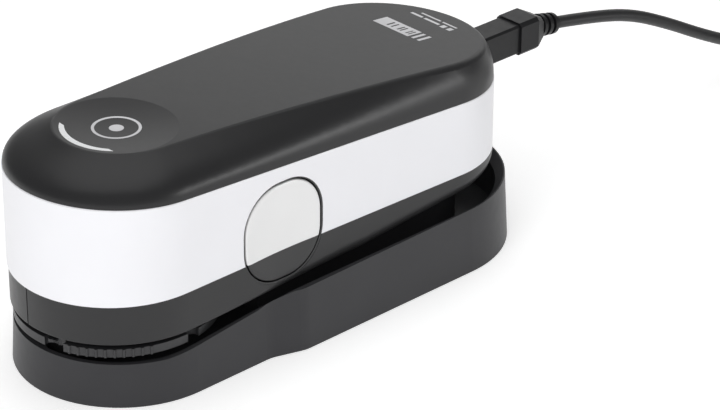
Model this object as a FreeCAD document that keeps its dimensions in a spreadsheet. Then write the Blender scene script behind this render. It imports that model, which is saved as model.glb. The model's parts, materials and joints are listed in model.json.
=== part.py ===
import FreeCAD, Part
import math
import os
import types

import Sketcher

# Handheld spectrophotometer parked on its calibration base, with its USB lead.
#
# The long axis is Y: the measuring nose is at -Y, the lead leaves the tail at +Y, and the
# round side button is on +X. Z is up. The origin is on the table, under the middle of the
# base. Every length is in millimetres.

V = FreeCAD.Vector
os.makedirs("parts", exist_ok=True)
doc = FreeCAD.newDocument("spectrophotometer")

# ---------------------------------------------------------------------------------------
# Driving dimensions
# ---------------------------------------------------------------------------------------
DIMENSIONS = {
    # instrument case: a long oval, straight sided between a nose arc and a tail arc
    "case_radius": 27.9, "nose_reach": 51.7, "tail_reach": 45.4,
    "case_low": 18.0, "band_low": 29.15, "band_bend": 8.0, "band_fall": 0.0215,
    "band_top": 52.15, "band_slope": 0.062, "housing_inset": 0.5,
    "band_wall": 1.6, "housing_wall": 2.2, "housing_floor": 1.6, "ledge": 0.1,
    "ramp_start": 10.0, "ramp_slope": 0.08, "under_round": 4.6,
    "under_nose_round": 0.4,
    "keel_radius": 19.0, "keel_front": 6.0, "keel_back": 41.0, "keel_low": 17.8,
    # top cover: lofted shoulder, cut by a crown of large radius, with a thumb dimple
    "cover_wall": 2.0, "crown_height": 67.0, "crown_radius": 1171.0,
    "crest_reach": 71.6, "crest_height": 65.6, "crease_nose": 1.0, "crease_tail": 2.2,
    "spine_nose_radius": 15.34, "spine_nose_reach": 48.1,
    "spine_tail_radius": 20.9, "spine_tail_reach": 41.3,
    "dimple_radius": 16.4, "dimple_depth": 0.9, "dimple_reach": 50.1,
    "arc_radius": 14.4, "arc_width": 1.7, "arc_depth": 0.6, "arc_proud": 0.08,
    # side button
    "button_reach": 19.05, "button_height": 34.85, "button_half_long": 12.8,
    "button_half_tall": 13.6, "button_corner": 11.4, "button_gap": 0.4,
    "bezel_wall": 0.4, "bezel_shift": 0.16,
    "button_thick": 2.5, "skin": 1.3, "flange_grow": 0.9, "flange_thick": 1.2,
    "stem_radius": 2.0, "stem_long": 2.1, "plunger_radius": 1.5, "plunger_long": 4.6,
    "switch_height": 34.85, "switch_side": 6.0, "switch_deep": 3.6,
    # calibration base: keyhole plan, narrow round the nose and wider behind the hips
    "base_low": 0.1, "base_high": 20.5, "base_nose_radius": 29.4, "base_nose_reach": 49.5,
    "base_tail_radius": 32.5, "base_tail_reach": 45.5, "hip_front": 25.0, "hip_back": 15.5,
    "hip_round": 9.0, "base_draft": 3.25,
    "rim_nose": 12.3, "rim_nose_end": 58.0, "rim_waist": 15.3, "rim_waist_reach": 29.0,
    "rim_hip": 17.8, "rim_hip_reach": 18.0, "rim_tail": 19.5,
    "well_floor": 6.0, "well_nose_radius": 27.3, "well_tail_radius": 28.8,
    "lead_in": 2.2, "lead_deep": 2.4,
    "floor_thick": 2.0, "plate_low": 0.9, "plate_thick": 1.6, "plate_inset": 3.2,
    "island_half": 17.5, "island_front": 19.0, "island_back": 46.0, "island_top": 17.4,
    "island_wall": 2.0, "pad_radius": 4.0, "foot_radius": 5.0,
    # tile and shutter
    "disc_low": 14.3, "disc_thick": 2.3, "disc_radius": 26.9, "rib_radius": 0.4,
    "dish_radius": 24.4, "dish_depth": 1.2, "hub_radius": 7.5,
    "window_radius": 6.5, "window_reach": 12.5, "pivot_radius": 2.2, "pivot_fit": 0.05,
    "boss_radius": 3.6, "boss_top": 13.8, "head_radius": 4.0, "head_thick": 0.9,
    "tile_radius": 7.2, "tile_top": 12.8, "holder_radius": 8.6, "holder_top": 13.2,
    # optics
    "head_bore": 4.2, "snout_radius": 8.5, "snout_low": 18.3, "snout_top": 34.0,
    "aperture_radius": 4.4, "ring_radius": 7.2, "lens_radius": 4.0, "lens_height": 30.0,
    "lamp_ring_top": 40.0, "bench_low": 31.4, "bench_top": 50.0, "bench_half": 14.0,
    "bench_front": 54.0, "bench_back": 2.0, "bench_wall": 2.0, "lid_thick": 1.5,
    # chassis, boards and socket
    "chassis_low": 29.2, "chassis_radius": 25.3, "board_low": 41.0, "board_thick": 1.6,
    "board_half": 18.5, "board_front": 8.0, "board_back": 61.0,
    "socket_half": 4.2, "socket_tall": 4.8, "socket_front": 60.0, "socket_back": 71.9,
    "screw_radius": 1.4, "screw_head": 2.6,
    # plug, strain relief and lead
    "plug_start": 73.5, "plug_half": 4.2, "plug_low": 40.7, "plug_tall": 8.8,
    "grip_start": 91.0, "grip_half": 4.9, "grip_end": 98.0, "neck_end": 101.6,
    "relief_radius": 3.35, "cord_radius": 1.8, "relief_drop": 11.0,
    "coil_x": 22.5, "coil_y": 234.0, "coil_inner": 18.9, "coil_pitch": 3.6,
    "coil_lift": 0.7, "tie_thick": 0.6,
    "far_x": 47.5, "far_relief": 201.0, "far_body": 193.5, "far_body_long": 25.0,
    "far_half": 7.9, "far_tall": 8.0, "far_shell_half": 6.0, "far_shell_tall": 4.5,
    "far_shell_long": 18.5,
}


class Size:
    """A length taken from the sheet: its number now, and the expression that follows it."""

    def __init__(self, number, text):
        self.number = number
        self.text = text

    def join(self, other, sign):
        other = size_of(other)
        if sign == "+":
            number = self.number + other.number
        elif sign == "-":
            number = self.number - other.number
        else:
            number = self.number * other.number
        return Size(number, f"({self.text} {sign} {other.text})")

    def __add__(self, other):
        return self.join(other, "+")

    def __sub__(self, other):
        return self.join(other, "-")

    def __mul__(self, other):
        return self.join(other, "*")

    def __neg__(self):
        return Size(-self.number, f"(-1 * {self.text})")

    def __radd__(self, other):
        return size_of(other) + self

    def __rsub__(self, other):
        return size_of(other) - self

    def __rmul__(self, other):
        return size_of(other) * self


def size_of(value):
    return value if isinstance(value, Size) else Size(float(value), repr(float(value)))


sheet = doc.addObject("Spreadsheet::Sheet", "dims")
for row, (alias, number) in enumerate(DIMENSIONS.items(), start=1):
    sheet.set(f"A{row}", alias)
    sheet.set(f"B{row}", str(number))
    sheet.setAlias(f"B{row}", alias)
doc.recompute()
d = types.SimpleNamespace(
    **{alias: Size(number, f"dims.{alias}") for alias, number in DIMENSIONS.items()})
ZERO = size_of(0)
SUBPARTS = {}


# ---------------------------------------------------------------------------------------
# Helpers
# ---------------------------------------------------------------------------------------
def keep(name, item):
    """Name a finished sub-part: its Label is the name of its file."""
    item.Label = name
    SUBPARTS[name] = item
    return item


def bind(item, prop, size):
    item.setExpression(prop, size_of(size).text)


def place(item, x, y, z, rotation=None):
    x, y, z = size_of(x), size_of(y), size_of(z)
    item.Placement = FreeCAD.Placement(
        V(x.number, y.number, z.number), rotation or FreeCAD.Rotation())
    for axis, size in zip("xyz", (x, y, z)):
        bind(item, f"Placement.Base.{axis}", size)
    return item


def box(x0, x1, y0, y1, z0, z1):
    """A box between two corners."""
    item = doc.addObject("Part::Box", "box")
    spans = {"Length": size_of(x1) - x0, "Width": size_of(y1) - y0, "Height": size_of(z1) - z0}
    for prop, span in spans.items():
        setattr(item, prop, span.number)
        bind(item, prop, span)
    return place(item, x0, y0, z0)


AXES = {
    "x": FreeCAD.Rotation(V(0, 1, 0), 90),
    "y": FreeCAD.Rotation(V(1, 0, 0), -90),
    "z": FreeCAD.Rotation(),
}


def rod(x, y, z, radius, length, axis="z"):
    """A cylinder that starts at a point and runs along +axis."""
    item = doc.addObject("Part::Cylinder", "rod")
    for prop, size in (("Radius", size_of(radius)), ("Height", size_of(length))):
        setattr(item, prop, size.number)
        bind(item, prop, size)
    return place(item, x, y, z, AXES[axis])


def cone(x, y, z, radius_start, radius_end, length, axis="z"):
    item = doc.addObject("Part::Cone", "cone")
    sizes = {"Radius1": radius_start, "Radius2": radius_end, "Height": length}
    for prop, size in sizes.items():
        setattr(item, prop, size_of(size).number)
        bind(item, prop, size)
    return place(item, x, y, z, AXES[axis])


def ball(x, y, z, radius):
    item = doc.addObject("Part::Sphere", "ball")
    item.Radius = size_of(radius).number
    bind(item, "Radius", radius)
    return place(item, x, y, z)


def torus(x, y, z, radius_ring, radius_section, axis="z"):
    item = doc.addObject("Part::Torus", "torus")
    for prop, size in (("Radius1", radius_ring), ("Radius2", radius_section)):
        setattr(item, prop, size_of(size).number)
        bind(item, prop, size)
    return place(item, x, y, z, AXES[axis])


def cut(base, *tools):
    for tool in tools:
        item = doc.addObject("Part::Cut", "cut")
        item.Base = base
        item.Tool = tool
        base = item
    return base


def fuse(*items):
    item = doc.addObject("Part::MultiFuse", "fuse")
    item.Shapes = list(items)
    item.Refine = True
    return item


def common(*items):
    item = doc.addObject("Part::MultiCommon", "common")
    item.Shapes = list(items)
    return item


def group(items):
    """Identical loose pieces that share one node."""
    item = doc.addObject("Part::Compound", "group")
    item.Links = list(items)
    return item


def round_edges(base, radius, chosen):
    """Round the edges of base whose middle point the function chosen accepts."""
    doc.recompute()
    item = doc.addObject("Part::Fillet", "rounded")
    item.Base = base
    value = size_of(radius).number
    edges = [(i, value, value) for i, edge in enumerate(base.Shape.Edges, start=1)
             if chosen(edge)]
    if not edges:
        raise ValueError("no edge to round")
    item.Edges = edges
    return item


def middle(edge):
    return edge.valueAt((edge.FirstParameter + edge.LastParameter) / 2)


# PartDesign helpers: sketches lie on their own body's origin planes
def new_body(name):
    return doc.addObject("PartDesign::Body", name)


def new_sketch(body, name, role, offset=ZERO, slope=0.0):
    sketch = body.newObject("Sketcher::SketchObject", name)
    plane = next(f for f in body.Origin.OriginFeatures if f.Role == role)
    sketch.AttachmentSupport = [(plane, "")]
    sketch.MapMode = "FlatFace"
    tilt = FreeCAD.Rotation(V(1, 0, 0), -math.degrees(math.atan(slope)))
    sketch.AttachmentOffset = FreeCAD.Placement(V(0, 0, offset.number), tilt)
    bind(sketch, "AttachmentOffset.Base.z", offset)
    return sketch


def pin(sketch, kind, geometry, point, size):
    index = sketch.addConstraint(Sketcher.Constraint(kind, geometry, point, size.number))
    sketch.setExpression(f"Constraints[{index}]", size.text)


def outline(sketch, corners):
    """Draw a closed outline. A corner is (x, y), or (x, y, centre_x, centre_y) where an
    arc, anticlockwise, leads to the next corner."""
    first = sketch.GeometryCount
    count = len(corners)
    corners = [tuple(size_of(value) for value in corner) for corner in corners]
    points = [V(corner[0].number, corner[1].number, 0) for corner in corners]
    for i, corner in enumerate(corners):
        start, end = points[i], points[(i + 1) % count]
        if len(corner) == 2:
            sketch.addGeometry(Part.LineSegment(start, end), False)
            continue
        centre = V(corner[2].number, corner[3].number, 0)
        chord = end - start
        outward = V(chord.y, -chord.x, 0).normalize()
        bulge = centre + outward * (start - centre).Length
        sketch.addGeometry(Part.Arc(start, bulge, end), False)
    for i, corner in enumerate(corners):
        here, after = first + i, first + (i + 1) % count
        target = points[(i + 1) % count]
        here_end = 2 if (sketch.Geometry[here].EndPoint - target).Length < 1e-6 else 1
        next_start = 1 if (sketch.Geometry[after].StartPoint - target).Length < 1e-6 else 2
        sketch.addConstraint(
            Sketcher.Constraint("Coincident", here, here_end, after, next_start))
        pin(sketch, "DistanceX", after, next_start, corners[(i + 1) % count][0])
        pin(sketch, "DistanceY", after, next_start, corners[(i + 1) % count][1])
        if len(corner) == 4:
            pin(sketch, "DistanceY", here, 3, corner[3])


def pill(sketch, radius, nose_reach, tail_reach, tail_radius=None):
    """An oval with a nose arc at -Y and a tail arc at +Y."""
    tail_radius = tail_radius or radius
    outline(sketch, [
        (-radius, -nose_reach, ZERO, -nose_reach),
        (radius, -nose_reach),
        (tail_radius, tail_reach, ZERO, tail_reach),
        (-tail_radius, tail_reach),
    ])


def pad(body, sketch, length, taper=None):
    item = body.newObject("PartDesign::Pad", "pad")
    item.Profile = sketch
    item.Length = size_of(length).number
    bind(item, "Length", length)
    if taper:
        item.TaperAngle = -taper.number
        bind(item, "TaperAngle", -taper)
    return item


def pocket_both_ways(body, sketch):
    """Cut a side-view sketch right across the body."""
    item = body.newObject("PartDesign::Pocket", "pocket")
    item.Profile = sketch
    item.Type = "ThroughAll"
    item.Midplane = True
    return item


def loft(name, sections):
    """A smooth loft through ovals; a section is (height, slope, the four pill sizes)."""
    body = new_body(name)
    sketches = []
    for number, (height, slope, *sizes) in enumerate(sections):
        sketch = new_sketch(body, f"{name}_section_{number}", "XY_Plane", height, slope)
        pill(sketch, *sizes)
        sketches.append(sketch)
    item = body.newObject("PartDesign::AdditiveLoft", "loft")
    item.Profile = sketches[0]
    item.Sections = sketches[1:]
    return body


def prism(name, low, high, *sizes):
    """An upright oval block between two heights; sizes as in pill."""
    body = new_body(name)
    sketch = new_sketch(body, f"{name}_outline", "XY_Plane", size_of(low))
    pill(sketch, *sizes)
    pad(body, sketch, size_of(high) - low)
    return body


def side_form(name, corners, half_width):
    """A block drawn in side view (Y, Z) and spread to both sides of the middle."""
    body = new_body(name)
    sketch = new_sketch(body, f"{name}_profile", "YZ_Plane")
    outline(sketch, corners)
    item = pad(body, sketch, 2 * size_of(half_width))
    item.Midplane = True
    return body


def at_angle(radius, degrees):
    return radius * math.cos(math.radians(degrees)), radius * math.sin(math.radians(degrees))


# ---------------------------------------------------------------------------------------
# Calibration base
# ---------------------------------------------------------------------------------------
SCREW_SPOTS = ((20.0, -46.0), (-20.0, -46.0), (24.0, 32.0), (-24.0, 32.0))
FOOT_SPOTS = ((15.0, -60.0), (-15.0, -60.0), (18.0, 56.0), (-18.0, 56.0))
PAD_SPOTS = ((10.0, -9.0), (-10.0, -9.0), (9.0, 44.0), (-9.0, 44.0))
TILE_Y = -d.nose_reach - d.window_reach


def tray_outside():
    """Keyhole wall with draft, its hips rounded and its rim stepped."""
    body = new_body("tray_block")
    sketch = new_sketch(body, "keyhole", "XY_Plane", d.base_low)
    nose, tail = d.base_nose_radius, d.base_tail_radius
    outline(sketch, [
        (-nose, -d.base_nose_reach, ZERO, -d.base_nose_reach),
        (nose, -d.base_nose_reach), (nose, -d.hip_front), (tail, -d.hip_back),
        (tail, d.base_tail_reach, ZERO, d.base_tail_reach),
        (-tail, d.base_tail_reach), (-tail, -d.hip_back), (-nose, -d.hip_front),
    ])
    pad(body, sketch, d.base_high - d.base_low, d.base_draft)
    side = new_sketch(body, "rim_line", "YZ_Plane")
    outline(side, [
        (-90, d.rim_nose), (-d.rim_nose_end, d.rim_nose), (-d.rim_waist_reach, d.rim_waist),
        (-d.rim_hip_reach, d.rim_hip), (90, d.rim_tail), (90, 40), (-90, 40),
    ])
    pocket_both_ways(body, side)

    def is_hip(edge):
        point = middle(edge)
        upright = abs(edge.tangentAt(edge.FirstParameter).z) > 0.9
        return upright and -d.hip_front.number - 2 < point.y < -d.hip_back.number + 2

    return round_edges(body, d.hip_round, is_hip)


def is_rim(edge):
    """Inner rim of the tub behind the hips."""
    point = middle(edge)
    level = abs(edge.tangentAt(edge.FirstParameter).z) < 0.3
    across = V(point.x, max(point.y - DIMENSIONS["base_tail_reach"], 0), 0).Length
    inner = abs(across - DIMENSIONS["well_tail_radius"]) < 0.3
    return level and inner and point.z > 17 and point.y > -DIMENSIONS["rim_hip_reach"] + 1


def ease_rim(tray):
    """Slope the inside of the rim so that the instrument finds its way in."""
    doc.recompute()
    item = doc.addObject("Part::Chamfer", "lead_in")
    item.Base = tray
    item.Edges = [(i, d.lead_in.number, d.lead_deep.number)
                  for i, edge in enumerate(tray.Shape.Edges, start=1) if is_rim(edge)]
    return item


def island(inset, low, high):
    """Raised deck behind the shutter that carries the instrument."""
    half = d.island_half - inset
    deck = box(-half, half, -d.island_front + inset, d.island_back, low, high)
    return fuse(deck, rod(ZERO, d.island_back, low, half, size_of(high) - low))


def base_tray():
    well = prism("well", d.well_floor, 40, d.well_nose_radius, d.base_nose_reach,
                 d.base_tail_reach, d.well_tail_radius)
    deck = island(ZERO, d.well_floor, d.island_top)
    floor_low = d.well_floor - d.floor_thick
    hollow = prism("underside", ZERO, floor_low, d.base_nose_radius - d.plate_inset + 0.3,
                   d.base_nose_reach, d.base_tail_reach,
                   d.base_tail_radius - d.plate_inset + 0.3)
    deck_hollow = island(d.island_wall, ZERO, d.island_top - d.island_wall)
    tray = cut(ease_rim(cut(tray_outside(), cut(well, deck))), hollow, deck_hollow)
    plate_top = d.plate_low + d.plate_thick
    bosses = [rod(x, y, plate_top, 2.8, floor_low - plate_top + 0.5) for x, y in SCREW_SPOTS]
    pilots = [rod(x, y, ZERO, 1.2, 5.3) for x, y in SCREW_SPOTS]
    boss = rod(ZERO, -d.nose_reach, floor_low + 1.0, d.boss_radius,
               d.boss_top - floor_low - 1.0)
    bore = rod(ZERO, -d.nose_reach, floor_low + 1.0, d.pivot_radius + d.pivot_fit, 20)
    return cut(fuse(tray, *bosses, boss), bore, *pilots)


def base_plate():
    plate = prism("plate", d.plate_low, d.plate_low + d.plate_thick,
                  d.base_nose_radius - d.plate_inset, d.base_nose_reach,
                  d.base_tail_reach, d.base_tail_radius - d.plate_inset)
    holes = [rod(x, y, ZERO, 1.5, 4) for x, y in SCREW_SPOTS]
    sinks = [rod(x, y, ZERO, 2.7, d.plate_low + 0.9) for x, y in SCREW_SPOTS]
    return cut(plate, *holes, *sinks)


def plate_screws():
    screws = []
    for x, y in SCREW_SPOTS:
        head = rod(x, y, d.plate_low, 2.5, 0.9)
        shank = rod(x, y, d.plate_low + 0.9, 1.15, 3.3)
        slot = box(x - 0.35, x + 0.35, y - 1.8, y + 1.8, d.plate_low - 0.2, d.plate_low + 0.4)
        screws.append(cut(fuse(head, shank), slot))
    return group(screws)


def base_feet():
    feet = []
    for x, y in FOOT_SPOTS:
        feet.append(cone(x, y, ZERO, d.foot_radius - 0.4, d.foot_radius, d.plate_low))
    return group(feet)


def rest_pads():
    height = d.keel_low - d.island_top
    return group([rod(x, y, d.island_top, d.pad_radius, height) for x, y in PAD_SPOTS])


keep("base_tray", base_tray())
keep("base_plate", base_plate())
keep("base_plate_screws", plate_screws())
keep("base_feet", base_feet())
keep("rest_pads", rest_pads())
keep("tile_holder", cut(
    rod(ZERO, TILE_Y, d.well_floor, d.holder_radius, d.holder_top - d.well_floor),
    rod(ZERO, TILE_Y, d.well_floor + 0.8, d.tile_radius + 0.1, 12)))
keep("white_tile", round_edges(
    rod(ZERO, TILE_Y, d.well_floor + 0.8, d.tile_radius, d.tile_top - d.well_floor - 0.8),
    0.4, lambda edge: middle(edge).z > 10 and len(edge.Vertexes) == 1))
keep("shutter_pivot", cut(
    fuse(rod(ZERO, -d.nose_reach, d.well_floor, d.pivot_radius,
             d.disc_low + d.disc_thick - d.well_floor - 0.1 - d.head_thick),
         rod(ZERO, -d.nose_reach, d.disc_low + d.disc_thick - 0.1 - d.head_thick,
             d.head_radius, d.head_thick)),
    box(-2.6, 2.6, -d.nose_reach - 0.4, -d.nose_reach + 0.4,
        d.disc_low + d.disc_thick - 0.6, 20)))
keep("shutter_washer", cut(
    rod(ZERO, -d.nose_reach, d.boss_top, 6.0, d.disc_low - d.boss_top - 0.1),
    rod(ZERO, -d.nose_reach, d.boss_top - 1, d.pivot_radius + 0.1, 3)))

# ---------------------------------------------------------------------------------------
# Tile shutter: a turntable under the nose, turned by its ribbed rim
# ---------------------------------------------------------------------------------------
RIB_FIRST, RIB_LAST, RIB_STEP = -66.0, -21.0, 5.0
# The middle of each notch and how far its two cuts stand off it, both in degrees
NOTCHES = ((-76.0, 2.6), (6.0, 0.5))
WINDOW_ANGLE = 0.0


def shutter_disc():
    """Flat disc with a window over the tile, a ribbed thumb grip and two end notches."""
    centre_y = -d.nose_reach
    disc = rod(ZERO, centre_y, d.disc_low, d.disc_radius, d.disc_thick)
    ribs = []
    for number in range(int((RIB_LAST - RIB_FIRST) / RIB_STEP) + 1):
        x, y = at_angle(DIMENSIONS["disc_radius"], RIB_FIRST + number * RIB_STEP)
        ribs.append(rod(x, centre_y + y, d.disc_low, d.rib_radius, d.disc_thick))
    x, y = at_angle(DIMENSIONS["window_reach"], WINDOW_ANGLE)
    window = rod(x, centre_y + y, ZERO, d.window_radius, 40)
    bore = rod(ZERO, centre_y, ZERO, d.pivot_radius + d.pivot_fit, 40)
    sink = rod(ZERO, centre_y, d.disc_low + d.disc_thick - d.head_thick - 0.3,
               d.head_radius + 0.3, 5)
    cuts = []
    for angle, half in NOTCHES:
        for side in (-half, half):
            x, y = at_angle(DIMENSIONS["disc_radius"] - 0.6, angle + side)
            cuts.append(rod(x, centre_y + y, ZERO, 1.8, 40))
    x, y = at_angle(DIMENSIONS["disc_radius"] - 0.8, NOTCHES[0][0] - 3.0)
    pip = rod(x, centre_y + y, d.disc_low + 1.4, 0.75, d.disc_thick - 1.4)
    floor = d.disc_low + d.disc_thick - d.dish_depth
    dish = cut(rod(ZERO, centre_y, floor, d.dish_radius, 5),
               rod(ZERO, centre_y, floor - 1, d.hub_radius, 8))
    x, y = at_angle(DIMENSIONS["disc_radius"] - 1.5, NOTCHES[0][0] - 3.0)
    arm = rod(x, centre_y + y, d.disc_low + 1.4, 1.3, 0.6)
    return fuse(cut(fuse(disc, *ribs), window, bore, sink, dish, *cuts), arm, pip)


keep("tile_shutter", shutter_disc())

# ---------------------------------------------------------------------------------------
# Instrument case
# ---------------------------------------------------------------------------------------
CASE_SCREWS = ((14.0, -6.0), (-14.0, -6.0), (14.0, 40.0), (-14.0, 40.0))


def button_form(x0, x1, grow, shift=ZERO):
    """Rounded square along X in the button's outline, grown outward on every side and
    shifted up and to the front."""
    long, tall = d.button_half_long + grow, d.button_half_tall + grow
    y, z = -d.button_reach - shift, d.button_height + shift
    block = box(x0, x1, y - long, y + long, z - tall, z + tall)
    return round_edges(block, d.button_corner + grow,
                       lambda edge: abs(edge.tangentAt(edge.FirstParameter).x) > 0.9)


def button_hole():
    return button_form(21, 40, d.button_gap + d.bezel_wall)


def button_bezel():
    """Thin black frame that lines the opening, just under flush, thicker low and aft."""
    return cut(button_form(d.case_radius - 2.0, d.case_radius - 0.08,
                           d.button_gap + d.bezel_wall),
               button_form(21, 40, d.button_gap, d.bezel_shift))


def ramp_block(name, lift):
    """Everything under the line where the housing rises towards its tail."""
    high = d.case_low + lift
    return side_form(name, [
        (-90, -5), (80, -5), (80, high + (80 - d.ramp_start) * d.ramp_slope),
        (d.ramp_start, high), (-90, high),
    ], 40)


def above_band_foot(name):
    """Everything over the seam between housing and band, level and then falling aft."""
    return side_form(name, [
        (-90, d.band_low), (-d.band_bend, d.band_low),
        (95, d.band_low - (95 + d.band_bend) * d.band_fall), (95, 90), (-90, 90),
    ], 40)


def roll_under(shell):
    """Round the bottom edge of the housing: tight at the nose, wider from the ramp aft."""
    doc.recompute()
    item = doc.addObject("Part::Fillet", "rolled")
    item.Base = shell
    start = DIMENSIONS["ramp_start"]
    edges = []
    for i, edge in enumerate(shell.Shape.Edges, start=1):
        ends = [edge.valueAt(at) for at in (edge.FirstParameter, edge.LastParameter)]
        if max(end.z for end in ends) < 25 and abs(ends[0].z - ends[1].z) < 5:
            edges.append((i, *(d.under_round.number if end.y > start - 1
                               else d.under_nose_round.number for end in ends)))
    item.Edges = edges
    return item


def lower_housing():
    """Open black tub: straight sides, a ramped underside and a flat keel to stand on."""
    block = prism("housing_block", d.case_low - 1, d.band_low, d.case_radius,
                  d.nose_reach - d.housing_inset, d.tail_reach)
    shell = cut(block, ramp_block("under_ramp", ZERO), above_band_foot("over_housing"))
    shell = roll_under(shell)
    keel = prism("keel_block", d.keel_low, d.case_low + 6, d.keel_radius, -d.keel_front,
                 d.keel_back)
    room = cut(prism("housing_room", d.keel_low, 50, d.case_radius - d.housing_wall,
                     d.nose_reach, d.tail_reach),
               ramp_block("floor_ramp", d.housing_floor))
    keel_room = prism("keel_room", d.keel_low + d.housing_floor, 50,
                      d.keel_radius - d.housing_floor, -d.keel_front, d.keel_back)
    tub = cut(fuse(shell, keel), room, keel_room)
    bosses = [rod(x, y, d.keel_low + 0.2, 3.6, d.chassis_low - d.keel_low - 0.2)
              for x, y in CASE_SCREWS]
    sinks = [rod(x, y, 15, d.screw_head + 0.2, d.keel_low + 2.4 - 15) for x, y in CASE_SCREWS]
    holes = [rod(x, y, 15, d.screw_radius + 0.1, 20) for x, y in CASE_SCREWS]
    nose_hole = rod(ZERO, TILE_Y, 15, d.snout_radius + 0.3, 8)
    seam = box(-2.3, -1.9, -82, -d.nose_reach - d.case_radius + 1.1, 15, 35)
    return cut(fuse(tub, *bosses), nose_hole, seam, button_hole(), *sinks, *holes)


def side_band():
    """Satin band: an oval ring whose top edge falls towards the tail."""
    body = new_body("band_ring")
    sketch = new_sketch(body, "band_outline", "XY_Plane", d.band_low - 3)
    pill(sketch, d.case_radius, d.nose_reach, d.tail_reach)
    pill(sketch, d.case_radius - d.band_wall, d.nose_reach, d.tail_reach)
    pad(body, sketch, 33)
    side = new_sketch(body, "band_top_line", "YZ_Plane")
    outline(side, [
        (-90, d.band_top + 90 * d.band_slope), (90, d.band_top - 90 * d.band_slope),
        (90, 75), (-90, 75),
    ])
    pocket_both_ways(body, side)
    ring = common(body, above_band_foot("over_seam"))
    doc.recompute()
    outer = DIMENSIONS["case_radius"] - 0.1

    def is_top_outer(edge):
        points = [edge.valueAt(edge.FirstParameter), middle(edge)]
        high = all(p.z > DIMENSIONS["band_top"] - 5.5 for p in points)
        lengthwise = abs(points[0].z - points[1].z) < 6
        out = all(abs(p.x) > outer or p.y < -DIMENSIONS["nose_reach"] - 1
                  or p.y > DIMENSIONS["tail_reach"] + 1 for p in points)
        point = points[1]
        past_nose = V(point.x, min(point.y + DIMENSIONS["nose_reach"], 0), 0).Length > outer
        past_tail = V(point.x, max(point.y - DIMENSIONS["tail_reach"], 0), 0).Length > outer
        return high and lengthwise and out and (past_nose or past_tail)

    ring = round_edges(ring, 0.35, is_top_outer)
    notch = box(-d.socket_half - 0.4, d.socket_half + 0.4, 60, 80,
                d.board_low + d.board_thick - 0.4, 60)
    return cut(ring, button_hole(), notch)


def cover_form(name, inset):
    """Shoulders lofted from the case outline up to the spine, under the long crown."""
    edge = d.case_radius - d.ledge - inset
    spine_nose, spine_tail = d.spine_nose_radius - inset, d.spine_tail_radius - inset
    sections = [(d.band_top, DIMENSIONS["band_slope"], edge, d.nose_reach, d.tail_reach)]
    for rise, wide in ((0.42, 0.83), (0.72, 0.40), (1.0, 0.0)):
        sections.append((
            (1 - rise) * d.band_top + rise * d.crown_height,
            (1 - rise) * DIMENSIONS["band_slope"],
            wide * edge + (1 - wide) * spine_nose,
            wide * d.nose_reach + (1 - wide) * d.spine_nose_reach,
            wide * d.tail_reach + (1 - wide) * d.spine_tail_reach,
            wide * edge + (1 - wide) * spine_tail))
    form = loft(name, sections)
    crown = rod(-40, -d.crest_reach, d.crest_height - d.crown_radius,
                d.crown_radius - inset, 80, "x")
    return common(form, crown)


def dimple_ball(lift):
    """The sphere that presses the dimple into the crown, raised or lowered by lift."""
    radius = (DIMENSIONS["dimple_radius"] ** 2 / DIMENSIONS["dimple_depth"] / 2
              + DIMENSIONS["dimple_depth"] / 2)
    reach = DIMENSIONS["crest_reach"] - DIMENSIONS["dimple_reach"]
    tilt = math.asin(reach / DIMENSIONS["crown_radius"])
    out = DIMENSIONS["crown_radius"] - DIMENSIONS["dimple_depth"] + radius
    y = -DIMENSIONS["crest_reach"] + out * math.sin(tilt)
    z = DIMENSIONS["crest_height"] - DIMENSIONS["crown_radius"] + out * math.cos(tilt)
    return ball(ZERO, y, z, radius - lift)


def arc_wedge():
    """Upright crescent, thickest in the middle, at the front of the dimple."""
    outer = rod(ZERO, -d.dimple_reach, 55, d.arc_radius, 15)
    inner = rod(ZERO, -d.dimple_reach + d.arc_width, 50, d.arc_radius, 30)
    front = box(-20, 20, -80, -d.dimple_reach - 9.7, 50, 80)
    return common(cut(outer, inner), front)


def soften_crown(form):
    """Round the crease round the crown: tight at the nose, wider at the tail."""
    doc.recompute()
    item = doc.addObject("Part::Fillet", "softened")
    item.Base = form
    crown = next(face for face in form.Shape.Faces if isinstance(face.Surface, Part.Cylinder))
    edges = []
    for i, edge in enumerate(form.Shape.Edges, start=1):
        if any(edge.isSame(side) for side in crown.Edges):
            ends = [edge.valueAt(at).y for at in (edge.FirstParameter, edge.LastParameter)]
            edges.append((i, *(d.crease_nose.number if y < 0 else d.crease_tail.number
                               for y in ends)))
    item.Edges = edges
    return item


def top_cover():
    outside = soften_crown(cover_form("cover_outside", ZERO))
    shell = cut(outside, cover_form("cover_inside", d.cover_wall))
    dimpled = cut(shell, dimple_ball(0))
    recess = common(arc_wedge(), dimple_ball(-DIMENSIONS["arc_depth"]))
    return cut(dimpled, recess)


keep("lower_housing", lower_housing())
keep("side_band", side_band())
keep("button_bezel", button_bezel())
keep("top_cover", top_cover())
keep("crescent_light_guide", cut(
    common(arc_wedge(), dimple_ball(-DIMENSIONS["arc_depth"])),
    dimple_ball(DIMENSIONS["arc_proud"])))


def case_screws():
    screws = []
    for x, y in CASE_SCREWS:
        head = rod(x, y, d.keel_low + 0.5, d.screw_head, 1.9)
        shank = rod(x, y, d.keel_low + 2.4, d.screw_radius, 11.0)
        slot = box(x - 2.0, x + 2.0, y - 0.4, y + 0.4, d.keel_low, d.keel_low + 1.2)
        screws.append(cut(fuse(head, shank), slot))
    return group(screws)


keep("case_screws", case_screws())
keep("glide_pads", group([
    rod(x, y, d.keel_low - 0.3, 3.0, 0.3) for x, y in ((9.0, 18.0), (-9.0, 18.0))]))

# ---------------------------------------------------------------------------------------
# Chassis and measuring optics
# ---------------------------------------------------------------------------------------
BENCH_Y0 = -d.bench_front
BENCH_Y1 = -d.bench_back
EYE_HEIGHT = 43.0


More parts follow.
